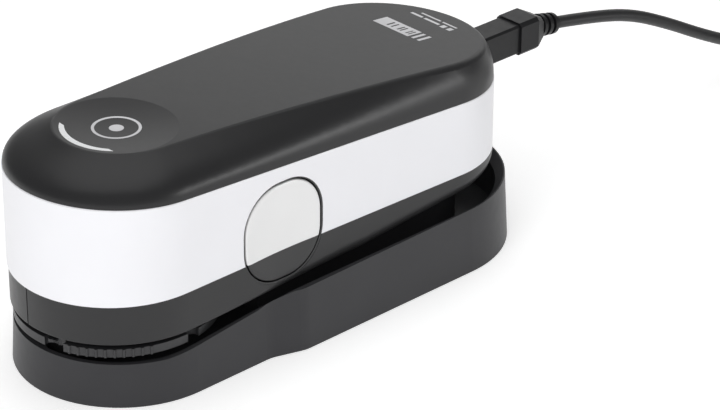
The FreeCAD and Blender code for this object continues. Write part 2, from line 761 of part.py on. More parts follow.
def inner_chassis():
    plate = prism("chassis_plate", d.chassis_low, d.bench_low, d.chassis_radius,
                  d.nose_reach, d.tail_reach)
    button_room = box(18.6, 30, -34, -3, 20, 45)
    nose_hole = rod(ZERO, TILE_Y, 20, d.snout_radius + 0.2, 30)
    tail_window = box(-10, 10, 12, 56, 20, 45)
    holes = [rod(x, y, 20, d.screw_radius + 0.05, 20) for x, y in CASE_SCREWS]
    return cut(plate, button_room, nose_hole, tail_window, *holes)


def measuring_head():
    snout = rod(ZERO, TILE_Y, d.snout_low, d.snout_radius, d.snout_top - d.snout_low)
    light_cone = cone(ZERO, TILE_Y, d.snout_low - 0.1, d.aperture_radius + 1.6,
                      d.head_bore - 1.4, 10.0)
    bore = rod(ZERO, TILE_Y, d.lens_height - 1.5, d.head_bore, 10)
    throat = rod(ZERO, TILE_Y, 20, d.head_bore - 1.4, 20)
    return cut(snout, light_cone, bore, throat)


def focus_lens():
    """Biconvex lens: two spheres and a ground edge."""
    blank = rod(ZERO, TILE_Y, d.lens_height - 1.4, d.lens_radius, 2.8)
    return common(blank, ball(ZERO, TILE_Y, d.lens_height - 8.6, 10),
                  ball(ZERO, TILE_Y, d.lens_height + 8.6, 10))


def lamp_ring():
    ring = cut(rod(ZERO, TILE_Y, d.snout_top, d.snout_radius, d.lamp_ring_top - d.snout_top),
               rod(ZERO, TILE_Y, 30, 3.4, 20))
    return cut(ring, rod(ZERO, TILE_Y, 37, 2.1, 12, "x"))


def optics_bench():
    """Black cast box that holds the spectrometer's slit, grating and sensor."""
    wall = d.bench_wall
    block = box(-d.bench_half, d.bench_half, BENCH_Y0, BENCH_Y1, d.bench_low, d.bench_top)
    room = box(-d.bench_half + wall, d.bench_half - wall, BENCH_Y0 + wall, BENCH_Y1 - wall,
               d.bench_low + wall, 60)
    eye = rod(ZERO, BENCH_Y0 - 1, EYE_HEIGHT, 2.6, 5, "y")
    return cut(block, room, eye)


def mirror_mount():
    """Wedge on the front of the bench that holds the fold mirror over the lens."""
    cheeks = []
    for x in (-6.5, 5.0):
        cheeks.append(side_slab(x, 1.5))
    return fuse(*cheeks, box(-6.5, 6.5, TILE_Y - 5.6, TILE_Y - 4.4, 40, 41.2))


def side_slab(x, thick):
    y_front, y_back = TILE_Y - 5.6, BENCH_Y0
    body = new_body("cheek")
    sketch = new_sketch(body, "cheek_profile", "YZ_Plane", size_of(x))
    outline(sketch, [(y_front, 40), (y_back, 40), (y_back, 49.5), (y_front + 8, 49.5),
                     (y_front, 42)])
    pad(body, sketch, thick)
    return body


def fold_mirror():
    mirror = doc.addObject("Part::Box", "mirror_plate")
    mirror.Length, mirror.Width, mirror.Height = 10.0, 11.0, 1.2
    place(mirror, -5.0, TILE_Y - 4.3, 41.2, FreeCAD.Rotation(V(1, 0, 0), 42))
    return mirror


def entrance_slit():
    plate = box(-3.5, 3.5, BENCH_Y0 + d.bench_wall, BENCH_Y0 + d.bench_wall + 0.5,
                EYE_HEIGHT - 3.5, EYE_HEIGHT + 3.5)
    return cut(plate, box(-0.2, 0.2, -70, -40, EYE_HEIGHT - 1.6, EYE_HEIGHT + 1.6))


def grating():
    """Concave grating on the rear wall of the bench."""
    back = BENCH_Y1 - d.bench_wall
    block = rod(ZERO, back - 4.0, EYE_HEIGHT, 5.6, 4.0, "y")
    return cut(block, ball(ZERO, back - 42.5, EYE_HEIGHT, 40))


keep("inner_chassis", inner_chassis())
keep("measuring_head", measuring_head())
keep("aperture_ring", cut(rod(ZERO, TILE_Y, d.snout_low - 0.3, d.ring_radius, 0.3),
                          rod(ZERO, TILE_Y, 10, d.aperture_radius, 20)))
keep("focus_lens", focus_lens())
keep("lamp_ring", lamp_ring())
keep("lamp_bulb", fuse(rod(3.6, TILE_Y, 37, 2.0, 7.0, "x"), ball(3.9, TILE_Y, 37, 1.9)))
keep("optics_bench", optics_bench())
keep("optics_lid", box(-d.bench_half, d.bench_half, BENCH_Y0, BENCH_Y1, d.bench_top,
                       d.bench_top + d.lid_thick))
keep("mirror_mount", mirror_mount())
keep("fold_mirror", fold_mirror())
keep("entrance_slit", entrance_slit())
keep("diffraction_grating", grating())
keep("sensor_array", box(d.bench_half - d.bench_wall - 2.4, d.bench_half - d.bench_wall,
                         -46, -28, EYE_HEIGHT - 2.5, EYE_HEIGHT + 2.5))

# ---------------------------------------------------------------------------------------
# Electronics
# ---------------------------------------------------------------------------------------
BOARD_TOP = d.board_low + d.board_thick
POST_SPOTS = ((15.5, 13.0), (-15.5, 13.0), (15.5, 55.0), (-15.5, 55.0))


def main_board():
    board = box(-d.board_half, d.board_half, d.board_front, d.board_back, d.board_low,
                BOARD_TOP)
    tongue = box(-6, 6, d.board_back - 1, 69.0, d.board_low, BOARD_TOP)
    return fuse(board, tongue)


def board_chips():
    chips = []
    for x, y, side, deep, tall in ((-8, 22, 10, 10, 1.4), (8, 20, 7, 7, 1.0),
                                   (0, 40, 12, 8, 1.2), (11, 44, 4, 4, 0.9)):
        chips.append(box(x - side / 2, x + side / 2, y - deep / 2, y + deep / 2, BOARD_TOP,
                         BOARD_TOP + tall))
    return group(chips)


def usb_socket():
    shell = box(-d.socket_half, d.socket_half, d.socket_front, d.socket_back, BOARD_TOP,
                BOARD_TOP + d.socket_tall)
    mouth = box(-d.socket_half + 0.5, d.socket_half - 0.5, d.socket_front + 1.5, 80,
                BOARD_TOP + 0.5, BOARD_TOP + d.socket_tall - 0.5)
    return cut(shell, mouth)


keep("main_board", main_board())
keep("board_posts", group([
    rod(x, y, d.bench_low, 2.2, d.board_low - d.bench_low) for x, y in POST_SPOTS]))
keep("board_chips", board_chips())
keep("usb_socket", usb_socket())

SWITCH_X0 = 15.4
keep("switch_board", box(14.2, SWITCH_X0, -30, -7, d.bench_low, 46))
keep("tact_switch", cut(
    box(SWITCH_X0, SWITCH_X0 + d.switch_deep, -d.button_reach - 3, -d.button_reach + 3,
        d.switch_height - 3, d.switch_height + 3),
    rod(SWITCH_X0, -d.button_reach, d.switch_height, d.plunger_radius + 0.25, 10, "x")))

# ---------------------------------------------------------------------------------------
# Side button: black carrier, satin upper face, stem, plunger and spring
# ---------------------------------------------------------------------------------------
BUTTON_OUT = d.case_radius
BUTTON_IN = d.case_radius - d.button_thick
FLANGE_IN = BUTTON_IN - d.flange_thick
STEM_IN = FLANGE_IN - d.stem_long


def button_cap():
    """Rounded square cap, faintly dished, with an eased front edge."""
    cap = button_form(BUTTON_IN, BUTTON_OUT, ZERO)
    eased = round_edges(cap, 0.5, lambda edge: middle(edge).x > BUTTON_OUT.number - 0.1)
    return cut(eased, ball(BUTTON_OUT + 149.5, -d.button_reach, d.button_height, 150))


def upper_face_block():
    return box(BUTTON_OUT - d.skin, 40, -60, 20, d.band_low, 80)


def button_carrier():
    cap = cut(button_cap(), upper_face_block())
    flange = button_form(FLANGE_IN, BUTTON_IN, d.flange_grow)
    stem = rod(STEM_IN, -d.button_reach, d.switch_height, d.stem_radius, d.stem_long, "x")
    return fuse(cap, flange, stem)


keep("button_carrier", button_carrier())
keep("button_face", common(button_cap(), upper_face_block()))
keep("switch_plunger", rod(STEM_IN - d.plunger_long, -d.button_reach, d.switch_height,
                           d.plunger_radius, d.plunger_long, "x"))


def button_spring():
    """Return spring at its working length, as a stack of closed turns on the stem."""
    turns = []
    for number in range(3):
        turns.append(torus(STEM_IN + 0.35 + number * 0.7, -d.button_reach, d.switch_height,
                           2.75, 0.35, "x"))
    return fuse(*turns, cut(
        rod(STEM_IN + 0.3, -d.button_reach, d.switch_height, 2.95, 1.8, "x"),
        rod(STEM_IN, -d.button_reach, d.switch_height, 2.55, 5, "x")))


keep("button_spring", button_spring())

# ---------------------------------------------------------------------------------------
# USB lead
# ---------------------------------------------------------------------------------------
PLUG_MID = d.plug_low + 0.5 * d.plug_tall
RELIEF_TILT = DIMENSIONS["relief_drop"]


def chamfered_block(name, sections):
    """Straight loft along Y through rounded-corner rectangles: (y, half width, low, high)."""
    body = new_body(name)
    sketches = []
    for number, (y, half, low, high, corner) in enumerate(sections):
        sketch = new_sketch(body, f"{name}_{number}", "XZ_Plane", -size_of(y))
        half, low, high = size_of(half), size_of(low), size_of(high)
        outline(sketch, [
            (-half, low + corner), (-half + corner, low), (half - corner, low),
            (half, low + corner), (half, high - corner), (half - corner, high),
            (-half + corner, high), (-half, high - corner),
        ])
        sketches.append(sketch)
    item = body.newObject("PartDesign::AdditiveLoft", "loft")
    item.Profile = sketches[0]
    item.Sections = sketches[1:]
    item.Ruled = True
    return body


def usb_plug():
    """Moulded plug: slim front, thicker grip with a bevelled back."""
    low, high = d.plug_low, d.plug_low + d.plug_tall
    slim = chamfered_block("plug_front", [
        (d.plug_start, d.plug_half, low, high, 0.6),
        (d.grip_start, d.plug_half, low, high, 0.6)])
    grip = chamfered_block("plug_grip", [
        (d.grip_start, d.grip_half, low - 0.5, high + 0.5, 1.0),
        (d.grip_end, d.grip_half, low - 0.5, high + 0.5, 1.0),
        (d.neck_end, d.relief_radius, PLUG_MID - d.relief_radius - 0.3,
         PLUG_MID + d.relief_radius - 0.3, 1.2)])
    return fuse(slim, grip)


def relief(length, radius, tip):
    """Tapered sleeve with three ribs, drawn along +Y from the origin."""
    sleeve = cone(ZERO, ZERO, ZERO, radius - 0.5, tip, length, "y")
    ribs = [cone(ZERO, y, ZERO, radius - 0.1 * i, radius - 0.1 * i - 0.1, 1.3, "y")
            for i, y in enumerate((1.0, 3.4, 5.8))]
    return fuse(sleeve, *ribs)


def strain_relief():
    sleeve = relief(8.6, d.relief_radius, d.cord_radius + 0.35)
    rotation = FreeCAD.Rotation(V(1, 0, 0), -RELIEF_TILT)
    return place(sleeve, ZERO, d.neck_end - 0.25, PLUG_MID - 0.35, rotation)


keep("usb_plug", usb_plug())
keep("usb_plug_tip", box(-d.socket_half + 0.9, d.socket_half - 0.9, 64.0, d.plug_start,
                         BOARD_TOP + 0.9, BOARD_TOP + d.socket_tall - 0.9))
keep("strain_relief", strain_relief())

# The lead droops from the plug to the table and runs up to its coil.
CORD_START = (0.0, 109.8, 43.1)
CORD_ROUTE = [
    CORD_START, (0.0, 124.0, 40.4), (0.2, 141.0, 36.0), (0.4, 157.0, 28.4),
    (0.2, 174.0, 19.0), (-0.8, 191.0, 10.6), (-0.8, 206.0, 5.0), (0.0, 220.0, 2.6),
    (0.0, 234.0, 2.5),
]
# The far end leaves the top of the coil and comes down beside it to its plug.
END_ROUTE = [
    (45.0, 234.0, 13.3), (45.2, 223.0, 11.4), (46.2, 212.0, 6.9), (47.5, 201.0, 4.0),
]


def tube(name, route, radius):
    """Round cord: straight runs joined by tangent arcs as large as the runs allow."""
    points = [V(*point) for point in route]
    edges, here = [], points[0]
    for before, corner, after in zip(points, points[1:], points[2:]):
        into, out = (corner - before), (after - corner)
        turn = into.getAngle(out)
        reach = 0.45 * min(into.Length, out.Length)
        bend = reach / math.tan(turn / 2)
        print(f"{name}: turn {math.degrees(turn):.1f} degrees, radius {bend:.0f} mm")
        start = corner - into.normalize() * reach
        end = corner + out.normalize() * reach
        inside = (out - into).normalize()
        centre = corner + inside * math.hypot(reach, bend)
        edges.append(Part.LineSegment(here, start).toShape())
        edges.append(Part.Arc(start, centre - inside * bend, end).toShape())
        here = end
    edges.append(Part.LineSegment(here, points[-1]).toShape())
    path = Part.Wire(edges)
    ring = Part.Wire(Part.makeCircle(radius, points[0], points[1] - points[0]))
    item = doc.addObject("Part::Feature", name)
    item.Shape = path.makePipeShell([ring], True, False)
    expected = math.pi * radius ** 2 * path.Length
    print(f"{name}: length {path.Length:.1f} mm, volume {item.Shape.Volume:.0f} mm3,"
          f" section times length {expected:.0f} mm3")
    return item


cord_radius = DIMENSIONS["cord_radius"]
keep("usb_cord", tube("lead", CORD_ROUTE, cord_radius))
keep("usb_cord_end", tube("lead_end", END_ROUTE, cord_radius))

COIL_OUT = d.coil_inner + d.coil_pitch + d.cord_radius
COIL_IN = d.coil_inner - d.cord_radius
COIL_TOP = d.coil_lift + 4 * d.coil_pitch
keep("usb_cord_coil", cut(
    rod(d.coil_x, d.coil_y, d.coil_lift, COIL_OUT, COIL_TOP - d.coil_lift),
    rod(d.coil_x, d.coil_y, ZERO, COIL_IN, 40)))
keep("cord_tie", cut(
    box(d.coil_x - 4, d.coil_x + 4, d.coil_y + COIL_IN - 1.2, d.coil_y + COIL_OUT + 1.0,
        ZERO, COIL_TOP + d.tie_thick + 0.1),
    box(d.coil_x - 9, d.coil_x + 9, d.coil_y + COIL_IN - 0.6, d.coil_y + COIL_OUT + 0.4,
        d.tie_thick, COIL_TOP + 0.1)))


def far_plug_body():
    y1 = d.far_body
    y0 = d.far_body - d.far_body_long
    block = chamfered_block("far_block", [
        (y0, d.far_half, ZERO, d.far_tall, 1.2),
        (y1 - 6, d.far_half, ZERO, d.far_tall, 1.2),
        (y1, d.far_half - 3.4, 0.7, d.far_tall - 0.9, 1.2)])
    block.Placement = FreeCAD.Placement(V(DIMENSIONS["far_x"], 0, 0), FreeCAD.Rotation())
    bind(block, "Placement.Base.x", d.far_x)
    return block


def far_plug_shell():
    y0 = d.far_body - d.far_body_long - d.far_shell_long
    y1 = d.far_body - d.far_body_long
    low = 0.5 * (d.far_tall - d.far_shell_tall)
    shell = box(d.far_x - d.far_shell_half, d.far_x + d.far_shell_half, y0, y1, low,
                low + d.far_shell_tall)
    mouth = box(d.far_x - d.far_shell_half + 0.4, d.far_x + d.far_shell_half - 0.4,
                y0 - 1, y1 - 1, low + 0.4, low + d.far_shell_tall - 0.4)
    tongue = box(d.far_x - d.far_shell_half + 0.8, d.far_x + d.far_shell_half - 0.8,
                 y0 + 0.6, y1 - 0.5, low + 0.4, low + 2.0)
    return fuse(cut(shell, mouth), tongue)


def far_relief():
    sleeve = relief(d.far_relief - d.far_body, 2.9, d.cord_radius + 0.35)
    return place(sleeve, d.far_x, d.far_body, 0.5 * d.far_tall, FreeCAD.Rotation())


keep("far_plug_body", far_plug_body())
keep("far_plug_shell", far_plug_shell())
keep("far_strain_relief", far_relief())

# ---------------------------------------------------------------------------------------
# Check and write
# ---------------------------------------------------------------------------------------
doc.recompute()
for item in doc.Objects:
    if "Invalid" in item.State or "Error" in item.State:
        raise RuntimeError(f"{item.Label} failed: {item.State}")
for name, item in SUBPARTS.items():
    shape = item.Shape
    if shape.isNull() or not shape.isValid() or not shape.Solids:
        raise RuntimeError(f"{name} has no valid solid")
    shape.exportStep(f"parts/{name}.step")
    bounds = shape.BoundBox
    print(f"{name}: {len(shape.Solids)} solid(s), {shape.Volume:.0f} mm3, "
          f"x {bounds.XMin:.1f}..{bounds.XMax:.1f} y {bounds.YMin:.1f}..{bounds.YMax:.1f} "
          f"z {bounds.ZMin:.1f}..{bounds.ZMax:.1f}")
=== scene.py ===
import json
import math

import bmesh
import bpy
from mathutils import Matrix, Vector
from mathutils.bvhtree import BVHTree


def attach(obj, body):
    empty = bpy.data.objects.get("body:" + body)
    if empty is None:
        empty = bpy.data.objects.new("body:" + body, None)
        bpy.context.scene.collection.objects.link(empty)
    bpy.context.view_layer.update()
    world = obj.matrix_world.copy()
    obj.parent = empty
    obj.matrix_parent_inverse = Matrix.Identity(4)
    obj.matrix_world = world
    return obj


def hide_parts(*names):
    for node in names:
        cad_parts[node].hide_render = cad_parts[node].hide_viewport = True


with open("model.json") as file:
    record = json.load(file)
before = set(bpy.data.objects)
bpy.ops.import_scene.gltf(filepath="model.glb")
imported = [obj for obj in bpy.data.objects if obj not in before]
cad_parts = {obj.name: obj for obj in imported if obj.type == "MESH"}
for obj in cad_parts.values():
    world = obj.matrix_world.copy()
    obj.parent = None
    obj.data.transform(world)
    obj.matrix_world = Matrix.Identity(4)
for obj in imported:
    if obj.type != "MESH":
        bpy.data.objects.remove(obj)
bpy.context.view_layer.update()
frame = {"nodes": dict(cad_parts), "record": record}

# Looks of the handheld spectrophotometer on its calibration base.
#
# The frame is the CAD model's: +Z up, the measuring nose at -Y, the lead leaving the tail at
# +Y, the round button on +X. Blender works in metres. The named lengths are in millimetres,
# apart from those of the floor and the lights, which are in metres.

MM = 0.001


def mm(*point):
    """A point or size given in millimetres."""
    return Vector([value * MM for value in point])


# ---------------------------------------------------------------------------------------
# Camera
# ---------------------------------------------------------------------------------------
CAMERA_TARGET = (0, -2.9, 0)
CAMERA_AZIMUTH = math.radians(46.68)
CAMERA_HEIGHT_ANGLE = math.radians(28.24)
CAMERA_ROLL = math.radians(0.256)
CAMERA_DISTANCE = 860.99
CAMERA_SIDEWAYS = 26.9
CAMERA_UPWARDS = 22.36
LENS_LENGTH = 160.0
SENSOR_WIDTH = 36.0
NEAREST_SEEN = 10.0


def add_camera():
    """Long lens at the front right, looking down on the instrument."""
    back = Vector((math.sin(CAMERA_AZIMUTH) * math.cos(CAMERA_HEIGHT_ANGLE),
                   -math.cos(CAMERA_AZIMUTH) * math.cos(CAMERA_HEIGHT_ANGLE),
                   math.sin(CAMERA_HEIGHT_ANGLE)))
    right = Vector((math.cos(CAMERA_AZIMUTH), math.sin(CAMERA_AZIMUTH), 0))
    right = Matrix.Rotation(CAMERA_ROLL, 3, back) @ right
    up = back.cross(right)
    data = bpy.data.cameras.new("camera")
    data.lens = LENS_LENGTH
    data.sensor_width = SENSOR_WIDTH
    data.clip_start = NEAREST_SEEN * MM
    camera = bpy.data.objects.new("camera", data)
    bpy.context.scene.collection.objects.link(camera)
    place = (mm(*CAMERA_TARGET) + back * CAMERA_DISTANCE * MM
             + right * CAMERA_SIDEWAYS * MM + up * CAMERA_UPWARDS * MM)
    turn = Matrix((right, up, back)).transposed().to_4x4()
    camera.matrix_world = Matrix.Translation(place) @ turn
    bpy.context.scene.camera = camera


add_camera()

# ---------------------------------------------------------------------------------------
# USB lead: droop, coil and far end on one line
# ---------------------------------------------------------------------------------------
CORD_RADIUS = 1.8
# These points repeat the route of the CAD part.
CORD_ROUTE = [
    (0.0, 109.8, 43.1), (0.0, 124.0, 40.4), (0.2, 141.0, 36.0), (0.4, 157.0, 28.4),
    (0.2, 174.0, 19.0), (-0.8, 191.0, 10.6), (-0.8, 206.0, 5.0), (0.0, 220.0, 2.6),
]
END_ROUTE = [
    (45.2, 223.0, 11.4), (46.2, 212.0, 6.9), (47.5, 201.0, 4.0),
]
COIL_CENTRE = (22.5, 234.0)
COIL_INNER, COIL_OUTER = 18.9, 22.5
COIL_FIRST, COIL_PITCH = 2.5, 3.6
COIL_TURNS = 6.5
# Where the coil starts, and how far round it each step, lane and change of lane goes, in degrees.
COIL_START = 180
COIL_STEP = 15
LANE_LENGTH, LANE_CHANGE, LAST_CHANGE = 315, 45, 60
# How finely the tube is drawn along its length and round it.
LENGTHWISE_STEPS, ROUND_STEPS = 6, 5


def coil_points():
    """Neat coil in four layers of two lanes, wound clockwise from above.

    Each change of lane comes a little earlier in its turn than the one before, so that no turn
    passes through another. Only the last waits for the coil's end, where it brings the lead to
    the outside.
    """
    lanes = [(COIL_OUTER, 0), (COIL_INNER, 0), (COIL_INNER, 1), (COIL_OUTER, 1),
             (COIL_OUTER, 2), (COIL_INNER, 2), (COIL_INNER, 3), (COIL_OUTER, 3)]
    total = int(360 * COIL_TURNS)
    changes = [(LANE_LENGTH * number, LANE_CHANGE) for number in range(1, len(lanes) - 1)]
    changes.append((total - LAST_CHANGE, LAST_CHANGE))
    # The spline runs inside its control points, so they stand a little outside the lane.
    swell = 1 / math.cos(math.radians(COIL_STEP / 2))
    points = []
    for degrees in range(0, total + 1, COIL_STEP):
        radius, layer = lanes[0]
        for (start, span), (next_radius, next_layer) in zip(changes, lanes[1:]):
            share = min(1.0, max(0.0, (degrees - start) / span))
            radius += share * (next_radius - radius)
            layer += share * (next_layer - layer)
        angle = math.radians(COIL_START - degrees)
        points.append((COIL_CENTRE[0] + swell * radius * math.cos(angle),
                       COIL_CENTRE[1] + swell * radius * math.sin(angle),
                       COIL_FIRST + layer * COIL_PITCH))
    return points


def add_cord():
    """The whole USB lead as one tube along a smooth spline."""
    curve = bpy.data.curves.new("usb_lead", "CURVE")
    curve.dimensions = "3D"
    spline = curve.splines.new("NURBS")
    route = CORD_ROUTE + coil_points() + END_ROUTE
    spline.points.add(len(route) - 1)
    for point, place in zip(spline.points, route):
        point.co = (*mm(*place), 1.0)
        point.radius = CORD_RADIUS * MM
    spline.order_u = 3
    spline.use_endpoint_u = True
    spline.resolution_u = LENGTHWISE_STEPS
    # Each point holds the real radius, so the bevel's own is 1.
    curve.bevel_depth = 1.0
    curve.bevel_resolution = ROUND_STEPS
    curve.use_fill_caps = True
    cord = bpy.data.objects.new("usb_lead", curve)
    bpy.context.scene.collection.objects.link(cord)
    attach(cord, "lead")
    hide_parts("usb_cord", "usb_cord_coil", "usb_cord_end")
    return cord


cord = add_cord()

# ---------------------------------------------------------------------------------------
# Printing on the cover
# ---------------------------------------------------------------------------------------
INK_THICK = 0.03
INK_STEP = 0.8
ABOVE_COVER = 90
WELD_WITHIN = 0.001
# Plain blocks and bars without lettering, each from x to x and from y to y.
PANEL_BLOCKS = [(-10.6, -6.6, 48.4, 53.8), (-6.6, 3.0, 48.4, 49.6), (-6.6, 3.0, 52.6, 53.8)]
PANEL_BARS = [(-5.9, -4.9), (-4.3, -2.6), (-2.0, -1.5), (-0.9, 0.7), (1.2, 1.7), (2.2, 3.0)]
PANEL_BAR_ROW = (49.6, 52.6)
END_BARS = [(4.0, 5.0, 48.7, 53.5), (6.2, 7.2, 48.7, 53.5)]
SMALL_BLOCKS = [
    (-9.6, -5.2, 61.6, 62.6), (-4.4, 1.2, 61.6, 62.6), (2.2, 3.7, 61.1, 63.0),
    (4.7, 6.2, 61.1, 63.0), (-7.8, -0.4, 64.0, 64.7), (0.4, 5.8, 64.0, 64.7),
]
LABEL_PATCHES = (PANEL_BLOCKS + [(*bar, *PANEL_BAR_ROW) for bar in PANEL_BARS] + END_BARS
                 + SMALL_BLOCKS)
MARK_CENTRE = (0.0, -50.1)
MARK_RINGS = [(5.6, 6.4), (0.0, 1.9)]
MARK_STEPS = 48


def strip_points(x0, x1, y0, y1):
    """Rows of points that cover a rectangle."""
    across = max(1, math.ceil((x1 - x0) / INK_STEP))
    along = max(1, math.ceil((y1 - y0) / INK_STEP))
    return [[(x0 + (x1 - x0) * i / across, y0 + (y1 - y0) * j / along)
             for i in range(across + 1)] for j in range(along + 1)]


def ring_points(inner, outer):
    """Rows of points that cover a ring about the middle of the dimple."""
    return [[(MARK_CENTRE[0] + radius * math.cos(math.tau * i / MARK_STEPS),
              MARK_CENTRE[1] + radius * math.sin(math.tau * i / MARK_STEPS))
             for i in range(MARK_STEPS + 1)] for radius in (inner, outer)]


def add_print(name, grids):
    """Thin ink that follows the cover under it."""
    cover = frame["nodes"]["top_cover"]
    surface = BVHTree.FromPolygons([cover.matrix_world @ v.co for v in cover.data.vertices],
                                   [face.vertices for face in cover.data.polygons])
    form = bmesh.new()
    for grid in grids:
        rows = []
        for row in grid:
            hits = [surface.ray_cast(mm(x, y, ABOVE_COVER), (0, 0, -1))[0] for x, y in row]
            rows.append([form.verts.new(hit) for hit in hits])
        for low, high in zip(rows, rows[1:]):
            for i in range(len(low) - 1):
                form.faces.new((low[i], low[i + 1], high[i + 1], high[i]))
    bmesh.ops.remove_doubles(form, verts=form.verts, dist=WELD_WITHIN * MM)
    bmesh.ops.recalc_face_normals(form, faces=form.faces)
    mesh = bpy.data.meshes.new(name)
    form.to_mesh(mesh)
    form.free()
    piece = bpy.data.objects.new(name, mesh)
    bpy.context.scene.collection.objects.link(piece)
    ink = piece.modifiers.new("ink", "SOLIDIFY")
    ink.thickness = INK_THICK * MM
    ink.offset = 1.0
    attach(piece, "instrument")
    return piece


label = add_print("printed_label", [strip_points(*patch) for patch in LABEL_PATCHES])
mark = add_print("dimple_mark", [ring_points(*ring) for ring in MARK_RINGS])

# ---------------------------------------------------------------------------------------
# Materials
# ---------------------------------------------------------------------------------------
# Noise hardly leaves this range, which is spread over the values that it drives.
NOISE_LOW, NOISE_HIGH = 0.3, 0.7
# Colour sockets of the mix node, by number, because its other sockets have the same names.
MIX_FIRST, MIX_SECOND, MIX_RESULT = 6, 7, 2
EDGE_SAMPLES = 4

BLOTCH_SIZE, GLOSS_SIZE = 14, 2.2

METAL_TONE_SIZE, METAL_DARK, METAL_LIGHT = 5, 0.9, 1.06
METAL_SMOOTHER, METAL_ROUGHER = 0.08, 0.10
METAL_EDGE = 0.1

GLASS_HAZE_SIZE, GLASS_DARK, GLASS_IOR = 1.5, 0.97, 1.52
GLASS_ROUGH, GLASS_HAZY = 0.03, 0.06

GLOW_CLOUD_SIZE, GLOW_DARK = 1.2, 0.95
GLOW_SMOOTH, GLOW_ROUGH = 0.25, 0.35

# How much narrower the noise is along each axis.
EVEN = (1, 1, 1)
NARROW_IN_Z = (1, 1, 12)
NARROW_IN_X = (40, 1, 1)

WHITE = (1, 1, 1, 1)

MATERIALS = {}


class Shader:
    """The principled material of a slot, with short calls for the nodes that feed it."""

    def __init__(self, slot):
        self.material = bpy.data.materials.new(slot)
        self.material.use_nodes = True
        self.tree = self.material.node_tree
        self.main = self.tree.nodes["Principled BSDF"]
        self.where = self.add("TexCoord").outputs["Object"]
        MATERIALS[slot] = self.material

    def add(self, kind, **values):
        """A new shader node with these properties."""
        node = self.tree.nodes.new("ShaderNode" + kind)
        for name, value in values.items():
            setattr(node, name, value)
        return node

    def feed(self, node, **links):
        """Link or set the node's inputs by name, with _ for a space."""
        for name, value in links.items():
            socket = node.inputs[name.replace("_", " ")]
            if isinstance(value, bpy.types.NodeSocket):
                self.tree.links.new(value, socket)
            else:
                socket.default_value = value
        return node

    def set(self, **links):
        """Link or set inputs of the principled shader."""
        self.feed(self.main, **links)

    def noise(self, size, detail=2, stretch=EVEN):
        """Noise whose features are about size millimetres across."""
        spot = self.feed(self.add("Mapping"), Vector=self.where, Scale=stretch)
        node = self.add("TexNoise")
        self.feed(node, Vector=spot.outputs["Vector"], Scale=1 / (size * MM), Detail=detail)
        return node.outputs["Fac"]

    def spread(self, value, low, high):
        """Noise turned into values from low to high."""
        node = self.add("MapRange")
        self.feed(node, Value=value, From_Min=NOISE_LOW, From_Max=NOISE_HIGH, To_Min=low,
                  To_Max=high)
        return node.outputs["Result"]

    def tint(self, noise, first, second):
        """Colour that goes from first to second with the noise."""
        node = self.add("Mix", data_type="RGBA")
        self.tree.links.new(self.spread(noise, 0, 1), node.inputs["Factor"])
        node.inputs[MIX_FIRST].default_value = (*first, 1)
        node.inputs[MIX_SECOND].default_value = (*second, 1)
        return node.outputs[MIX_RESULT]

    def bump(self, height, depth, edge):
        """Bump of the given depth over edges that are rounded by edge, in millimetres."""
        node = self.add("Bump")
        self.feed(node, Height=height, Distance=depth * MM, Strength=1.0,
                  Normal=self.soft_edge(edge))
        return node.outputs["Normal"]

    def soft_edge(self, radius):
        """Normals that roll over an edge as a moulded or broken edge does."""
        node = self.feed(self.add("Bevel", samples=EDGE_SAMPLES), Radius=radius * MM)
        return node.outputs["Normal"]


def scaled(colour, factor):
    """The colour made lighter or darker."""
    return tuple(min(1.0, channel * factor) for channel in colour)


def plastic(slot, colour, rough=0.45, grain=0.35, depth=0.012, blotch=0.10, edge=0.15,
            uneven=0.04, **extra):
    """Moulded or painted plastic: spark-eroded grain, faint blotches, uneven gloss.

    grain, depth and edge are the size of the grain, its depth and the radius of the edges, in
    millimetres. blotch and uneven are how far the tone and the roughness go either way.
    """
    shader = Shader(slot)
    blotches = shader.noise(BLOTCH_SIZE, detail=3)
    gloss = shader.noise(GLOSS_SIZE)
    shader.set(Base_Color=shader.tint(blotches, scaled(colour, 1 - blotch),
                                      scaled(colour, 1 + blotch)),
               Roughness=shader.spread(gloss, rough - uneven, rough + uneven),
               Normal=shader.bump(shader.noise(grain), depth, edge),
               **extra)


def metal(slot, colour, rough=0.3, stretch=NARROW_IN_Z, scratch=0.4, depth=0.004):
    """Plated, turned or drawn metal with fine marks, which stretch can make run one way."""
    shader = Shader(slot)
    marks = shader.noise(scratch, detail=3, stretch=stretch)
    tone = shader.noise(METAL_TONE_SIZE)
    shader.set(Metallic=1.0,
               Base_Color=shader.tint(tone, scaled(colour, METAL_DARK),
                                      scaled(colour, METAL_LIGHT)),
               Roughness=shader.spread(marks, rough - METAL_SMOOTHER, rough + METAL_ROUGHER),
               Normal=shader.bump(marks, depth, METAL_EDGE))


def clear(slot, colour):
    """Polished glass with the faint unevenness of a coating."""
    shader = Shader(slot)
    haze = shader.noise(GLASS_HAZE_SIZE)
    shader.set(Base_Color=shader.tint(haze, scaled(colour, GLASS_DARK), colour),
               Roughness=shader.spread(haze, GLASS_ROUGH, GLASS_HAZY),
               Transmission_Weight=1.0, IOR=GLASS_IOR)


def painted_glow(slot, colour, strength):
    """Milky light guide with a painted glow: an even light of its own brightens it, though no
    lamp shines into it.
    """
    shader = Shader(slot)
    cloud = shader.noise(GLOW_CLOUD_SIZE)
    shader.set(Base_Color=shader.tint(cloud, scaled(colour, GLOW_DARK), colour),
               Roughness=shader.spread(cloud, GLOW_SMOOTH, GLOW_ROUGH),
               Emission_Color=WHITE, Emission_Strength=strength)


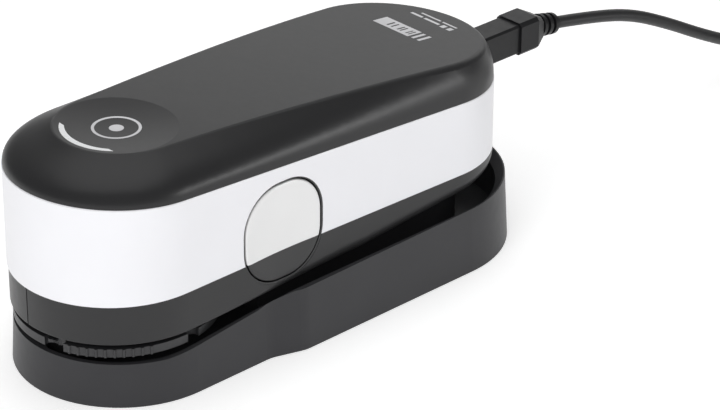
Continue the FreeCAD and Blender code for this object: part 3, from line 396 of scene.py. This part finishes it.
# One material for each slot of the record, and print_grey, which is the ink of the printing.
#
# The base and its turntable
plastic("base_shell", (0.034, 0.034, 0.037), rough=0.42, grain=0.5, depth=0.010, blotch=0.05,
        uneven=0.02, IOR=1.36)
plastic("base_cover", (0.030, 0.030, 0.032), rough=0.55, grain=0.6, depth=0.02)
plastic("foot_rubber", (0.018, 0.018, 0.019), rough=0.8, grain=0.3, depth=0.02)
plastic("pad_rubber", (0.022, 0.022, 0.023), rough=0.75, grain=0.3, depth=0.02)
plastic("holder_black", (0.020, 0.020, 0.021), rough=0.5)
plastic("tile_ceramic", (0.88, 0.88, 0.87), rough=0.12, grain=3.0, depth=0.004, blotch=0.01,
        Coat_Weight=0.6, Coat_Roughness=0.05)
plastic("shutter_grey", (0.026, 0.026, 0.028), rough=0.42, grain=0.4, depth=0.010)
metal("steel", (0.56, 0.56, 0.57), rough=0.32)

# The instrument's case
plastic("housing_black", (0.024, 0.024, 0.025), rough=0.38, grain=0.5, depth=0.006,
        blotch=0.05, uneven=0.02, IOR=1.40)
plastic("band_silver", (0.88, 0.88, 0.91), rough=0.36, grain=0.25, depth=0.003, blotch=0.008,
        Metallic=0.12, Coat_Weight=0.25, Coat_Roughness=0.25)
plastic("cover_charcoal", (0.018, 0.018, 0.019), rough=0.38, grain=0.3, depth=0.0018,
        blotch=0.03, uneven=0.010, IOR=1.40)
# Painted glow: the emission brightens the milky light guide, which no lamp lights.
painted_glow("light_guide", (0.62, 0.63, 0.64), strength=0.18)
plastic("pad_slip", (0.05, 0.05, 0.05), rough=0.5)
plastic("print_grey", (0.70, 0.70, 0.72), rough=0.5, grain=0.3, depth=0.002, blotch=0.08)

# The side button
plastic("button_black", (0.020, 0.020, 0.021), rough=0.38, grain=0.5, depth=0.006)
plastic("button_silver", (0.83, 0.83, 0.83), rough=0.34, grain=0.25, depth=0.003, blotch=0.01,
        Metallic=0.15, Coat_Weight=0.25, Coat_Roughness=0.25)
plastic("plunger_white", (0.78, 0.77, 0.73), rough=0.35)
metal("spring_wire", (0.50, 0.50, 0.51), rough=0.3)

# The inside
plastic("chassis_black", (0.014, 0.014, 0.015), rough=0.6)
metal("head_metal", (0.05, 0.05, 0.055), rough=0.42)
clear("lens_glass", (0.93, 0.95, 0.96))
plastic("lamp_white", (0.85, 0.85, 0.83), rough=0.4, grain=0.4, depth=0.01, blotch=0.02)
clear("lamp_glass", (0.96, 0.94, 0.88))
metal("bench_metal", (0.06, 0.06, 0.065), rough=0.5, stretch=EVEN, scratch=0.5, depth=0.02)
metal("mirror_front", (0.90, 0.91, 0.92), rough=0.10, stretch=EVEN, scratch=2.0, depth=0.0005)
metal("slit_steel", (0.25, 0.25, 0.26), rough=0.4)
metal("grating_glass", (0.70, 0.75, 0.80), rough=0.16, stretch=NARROW_IN_X, scratch=2.0,
      depth=0.001)
plastic("chip_black", (0.022, 0.022, 0.024), rough=0.5, grain=0.2, depth=0.01)
plastic("board_green", (0.020, 0.110, 0.050), rough=0.3, grain=0.8, depth=0.01, blotch=0.12,
        Coat_Weight=0.3, Coat_Roughness=0.2)
plastic("post_nylon", (0.58, 0.57, 0.52))
metal("socket_metal", (0.60, 0.60, 0.61), rough=0.28)

# The lead
plastic("plug_black", (0.009, 0.009, 0.010), rough=0.40, grain=0.4, IOR=1.36)
metal("plug_metal", (0.62, 0.62, 0.63), rough=0.26)
plastic("cord_black", (0.018, 0.018, 0.019), grain=0.6, depth=0.01, IOR=1.42)
plastic("tie_black", (0.018, 0.018, 0.019), rough=0.6)


def paint(piece, slot):
    """Give the piece the material of the slot and no other."""
    piece.data.materials.clear()
    piece.data.materials.append(MATERIALS[slot])


for part in frame["record"]["subparts"]:
    paint(frame["nodes"][part["node"]], part["material_slot"])
paint(cord, "cord_black")
paint(label, "print_grey")
paint(mark, "print_grey")

# ---------------------------------------------------------------------------------------
# Floor and light
# ---------------------------------------------------------------------------------------
FLOOR_HALF = 1.2
FLOOR_TONE = 0.94
FLOOR_ROUGH = 0.9
FLOOR_GLOW = 0.40
SURROUND = 0.24


def add_floor():
    """Pale matt floor with a little light of its own, so that it stays near white."""
    mesh = bpy.data.meshes.new("floor")
    corners = [(-1, -1), (1, -1), (1, 1), (-1, 1)]
    mesh.from_pydata([(x * FLOOR_HALF, y * FLOOR_HALF, 0) for x, y in corners], [],
                     [(0, 1, 2, 3)])
    floor = bpy.data.objects.new("floor", mesh)
    bpy.context.scene.collection.objects.link(floor)
    material = bpy.data.materials.new("floor")
    material.use_nodes = True
    shader = material.node_tree.nodes["Principled BSDF"]
    shader.inputs["Base Color"].default_value = (FLOOR_TONE, FLOOR_TONE, FLOOR_TONE, 1)
    shader.inputs["Roughness"].default_value = FLOOR_ROUGH
    shader.inputs["Emission Color"].default_value = WHITE
    shader.inputs["Emission Strength"].default_value = FLOOR_GLOW
    mesh.materials.append(material)


def add_area_light(name, place, aim, size, watts, diffuse=True, glossy=True):
    """Rectangular light at place, turned towards aim, which can skip matt or glossy light."""
    data = bpy.data.lights.new(name, "AREA")
    data.shape = "RECTANGLE"
    data.size, data.size_y = size
    data.energy = watts
    light = bpy.data.objects.new(name, data)
    bpy.context.scene.collection.objects.link(light)
    light.location = place
    light.rotation_euler = (Vector(aim) - Vector(place)).to_track_quat("-Z", "Y").to_euler()
    light.visible_diffuse = diffuse
    light.visible_glossy = glossy


def add_world():
    """Even white studio surround."""
    world = bpy.data.worlds.new("studio")
    bpy.context.scene.world = world
    world.use_nodes = True
    background = world.node_tree.nodes["Background"]
    background.inputs["Color"].default_value = WHITE
    background.inputs["Strength"].default_value = SURROUND


add_floor()
add_world()
add_area_light("key", place=(0.62, -0.85, 0.62), aim=(0, 0, 0.03), size=(1.3, 1.1), watts=8.1,
               glossy=False)
add_area_light("overhead", place=(-0.1, 0.1, 0.9), aim=(0, 0, 0.03), size=(0.9, 0.9), watts=3.2)
add_area_light("backdrop", place=(-0.75, 0.85, 0.45), aim=(0, 0, 0.05), size=(1.2, 0.5),
               watts=1.9)
# This one makes the soft streak along the cover's shoulder.
add_area_light("strip", place=(0.82, 0.61, 0.135), aim=(0.028, 0.01, 0.057), size=(0.14, 0.10),
               watts=1.9, diffuse=False)
bpy.context.scene.view_settings.view_transform = "Standard"
